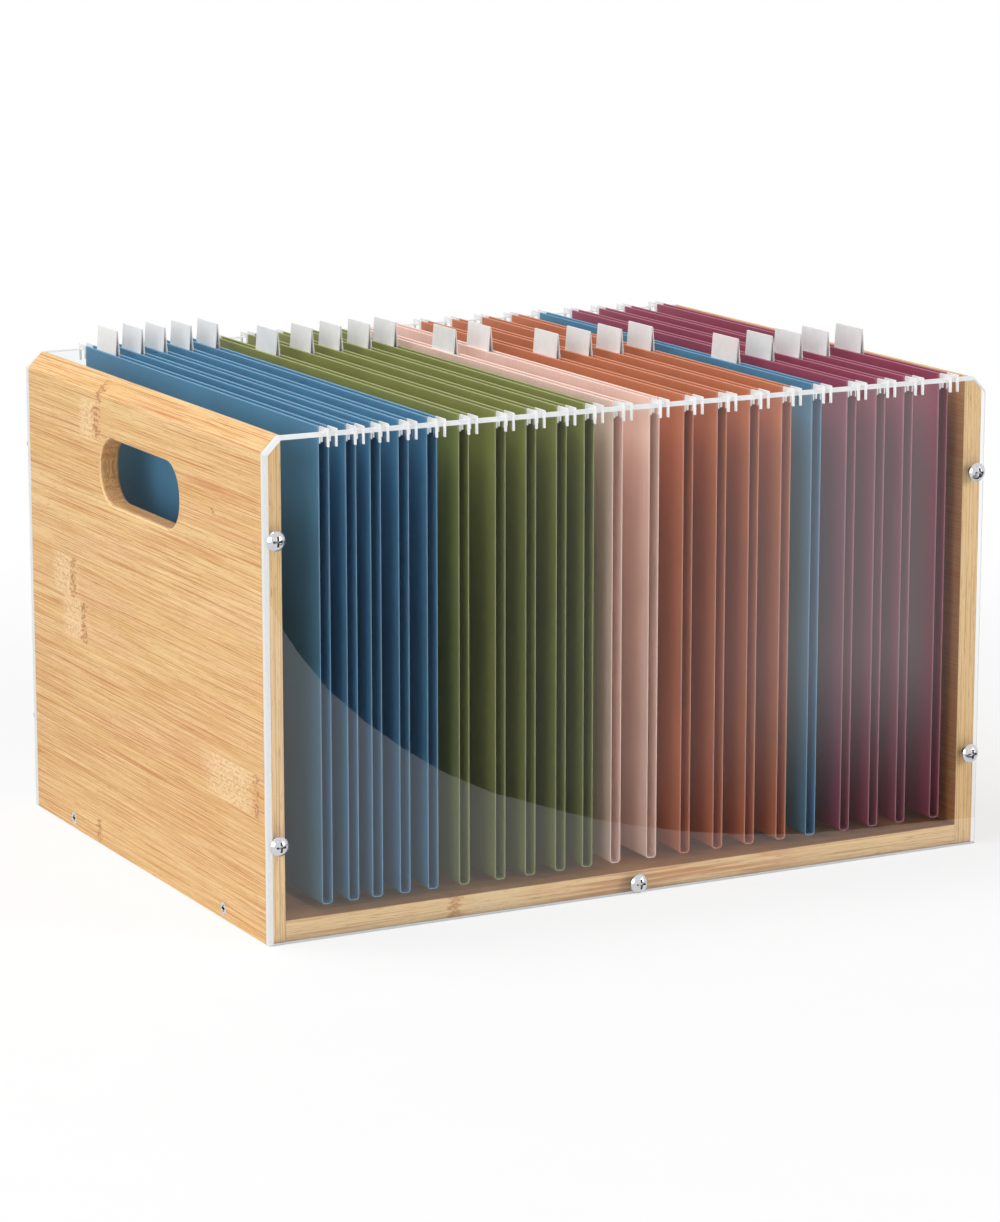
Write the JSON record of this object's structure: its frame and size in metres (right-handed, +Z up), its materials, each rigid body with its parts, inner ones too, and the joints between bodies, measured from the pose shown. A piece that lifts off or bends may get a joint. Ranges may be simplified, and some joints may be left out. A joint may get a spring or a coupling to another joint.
{
  "type": "hanging file organizer",
  "caption": "Desktop box of bamboo sides and clear front and rear panels whose top edges are rails for sliding hanging folders with index tabs.",
  "frame": {"origin": "middle of the footprint, on the surface that the box stands on", "axes": "+X along the rails to the right, +Y to the rear, +Z up"},
  "size_m": [0.418, 0.3212, 0.27],
  "materials": {
    "bamboo": "satin",
    "clear_acrylic": "polished",
    "chromed_screws": "polished",
    "blue_card": "matte",
    "green_card": "matte",
    "pink_card": "matte",
    "orange_card": "matte",
    "burgundy_card": "matte",
    "white_plastic": "satin"
  },
  "bodies": {
    "box": {"left_side_panel": "bamboo", "right_side_panel": "bamboo", "base_board": "bamboo", "front_clear_panel": "clear_acrylic", "rear_clear_panel": "clear_acrylic", "front_panel_screws": "chromed_screws", "rear_panel_screws": "chromed_screws", "left_base_screws": "chromed_screws", "right_base_screws": "chromed_screws"},
    "blue_folder_1": {"blue_folder_1_sheet": "blue_card", "blue_folder_1_hangers": "white_plastic"},
    "blue_folder_2": {"blue_folder_2_sheet": "blue_card", "blue_folder_2_hangers": "white_plastic"},
    "blue_folder_3": {"blue_folder_3_sheet": "blue_card", "blue_folder_3_hangers": "white_plastic"},
    "blue_folder_4": {"blue_folder_4_sheet": "blue_card", "blue_folder_4_hangers": "white_plastic"},
    "blue_folder_5": {"blue_folder_5_sheet": "blue_card", "blue_folder_5_hangers": "white_plastic"},
    "green_folder_1": {"green_folder_1_sheet": "green_card", "green_folder_1_hangers": "white_plastic"},
    "green_folder_2": {"green_folder_2_sheet": "green_card", "green_folder_2_hangers": "white_plastic"},
    "green_folder_3": {"green_folder_3_sheet": "green_card", "green_folder_3_hangers": "white_plastic"},
    "green_folder_4": {"green_folder_4_sheet": "green_card", "green_folder_4_hangers": "white_plastic"},
    "green_folder_5": {"green_folder_5_sheet": "green_card", "green_folder_5_hangers": "white_plastic"},
    "pink_folder_1": {"pink_folder_1_sheet": "pink_card", "pink_folder_1_hangers": "white_plastic"},
    "pink_folder_2": {"pink_folder_2_sheet": "pink_card", "pink_folder_2_hangers": "white_plastic"},
    "orange_folder_1": {"orange_folder_1_sheet": "orange_card", "orange_folder_1_hangers": "white_plastic"},
    "orange_folder_2": {"orange_folder_2_sheet": "orange_card", "orange_folder_2_hangers": "white_plastic"},
    "orange_folder_3": {"orange_folder_3_sheet": "orange_card", "orange_folder_3_hangers": "white_plastic"},
    "orange_folder_4": {"orange_folder_4_sheet": "orange_card", "orange_folder_4_hangers": "white_plastic"},
    "blue_folder_6": {"blue_folder_6_sheet": "blue_card", "blue_folder_6_hangers": "white_plastic"},
    "burgundy_folder_1": {"burgundy_folder_1_sheet": "burgundy_card", "burgundy_folder_1_hangers": "white_plastic"},
    "burgundy_folder_2": {"burgundy_folder_2_sheet": "burgundy_card", "burgundy_folder_2_hangers": "white_plastic"},
    "burgundy_folder_3": {"burgundy_folder_3_sheet": "burgundy_card", "burgundy_folder_3_hangers": "white_plastic"},
    "burgundy_folder_4": {"burgundy_folder_4_sheet": "burgundy_card", "burgundy_folder_4_hangers": "white_plastic"}
  },
  "joints": [
    {"name": "blue_folder_1_slide", "type": "slide", "parent": "box", "child": "blue_folder_1", "axis": [1, 0, 0], "range_m": [-0.0213, 0.00425]},
    {"name": "blue_folder_2_slide", "type": "slide", "parent": "box", "child": "blue_folder_2", "axis": [1, 0, 0], "range_m": [-0.00425, 0.0036]},
    {"name": "blue_folder_3_slide", "type": "slide", "parent": "box", "child": "blue_folder_3", "axis": [1, 0, 0], "range_m": [-0.0036, 0.00464]},
    {"name": "blue_folder_4_slide", "type": "slide", "parent": "box", "child": "blue_folder_4", "axis": [1, 0, 0], "range_m": [-0.00464, 0.0048]},
    {"name": "blue_folder_5_slide", "type": "slide", "parent": "box", "child": "blue_folder_5", "axis": [1, 0, 0], "range_m": [-0.0048, 0.0058]},
    {"name": "green_folder_1_slide", "type": "slide", "parent": "box", "child": "green_folder_1", "axis": [1, 0, 0], "range_m": [-0.0058, 0.0072]},
    {"name": "green_folder_2_slide", "type": "slide", "parent": "box", "child": "green_folder_2", "axis": [1, 0, 0], "range_m": [-0.0072, 0.0056]},
    {"name": "green_folder_3_slide", "type": "slide", "parent": "box", "child": "green_folder_3", "axis": [1, 0, 0], "range_m": [-0.0056, 0.00565]},
    {"name": "green_folder_4_slide", "type": "slide", "parent": "box", "child": "green_folder_4", "axis": [1, 0, 0], "range_m": [-0.00565, 0.00485]},
    {"name": "green_folder_5_slide", "type": "slide", "parent": "box", "child": "green_folder_5", "axis": [1, 0, 0], "range_m": [-0.00485, 0.0052]},
    {"name": "pink_folder_1_slide", "type": "slide", "parent": "box", "child": "pink_folder_1", "axis": [1, 0, 0], "range_m": [-0.0052, 0.0076]},
    {"name": "pink_folder_2_slide", "type": "slide", "parent": "box", "child": "pink_folder_2", "axis": [1, 0, 0], "range_m": [-0.0076, 0.00695]},
    {"name": "orange_folder_1_slide", "type": "slide", "parent": "box", "child": "orange_folder_1", "axis": [1, 0, 0], "range_m": [-0.00695, 0.00685]},
    {"name": "orange_folder_2_slide", "type": "slide", "parent": "box", "child": "orange_folder_2", "axis": [1, 0, 0], "range_m": [-0.00685, 0.0066]},
    {"name": "orange_folder_3_slide", "type": "slide", "parent": "box", "child": "orange_folder_3", "axis": [1, 0, 0], "range_m": [-0.0066, 0.0066]},
    {"name": "orange_folder_4_slide", "type": "slide", "parent": "box", "child": "orange_folder_4", "axis": [1, 0, 0], "range_m": [-0.0066, 0.0061]},
    {"name": "blue_folder_6_slide", "type": "slide", "parent": "box", "child": "blue_folder_6", "axis": [1, 0, 0], "range_m": [-0.0061, 0.0076]},
    {"name": "burgundy_folder_1_slide", "type": "slide", "parent": "box", "child": "burgundy_folder_1", "axis": [1, 0, 0], "range_m": [-0.0076, 0.0059]},
    {"name": "burgundy_folder_2_slide", "type": "slide", "parent": "box", "child": "burgundy_folder_2", "axis": [1, 0, 0], "range_m": [-0.0059, 0.00555]},
    {"name": "burgundy_folder_3_slide", "type": "slide", "parent": "box", "child": "burgundy_folder_3", "axis": [1, 0, 0], "range_m": [-0.00555, 0.0078]},
    {"name": "burgundy_folder_4_slide", "type": "slide", "parent": "box", "child": "burgundy_folder_4", "axis": [1, 0, 0], "range_m": [-0.0078, 0.008]}
  ]
}
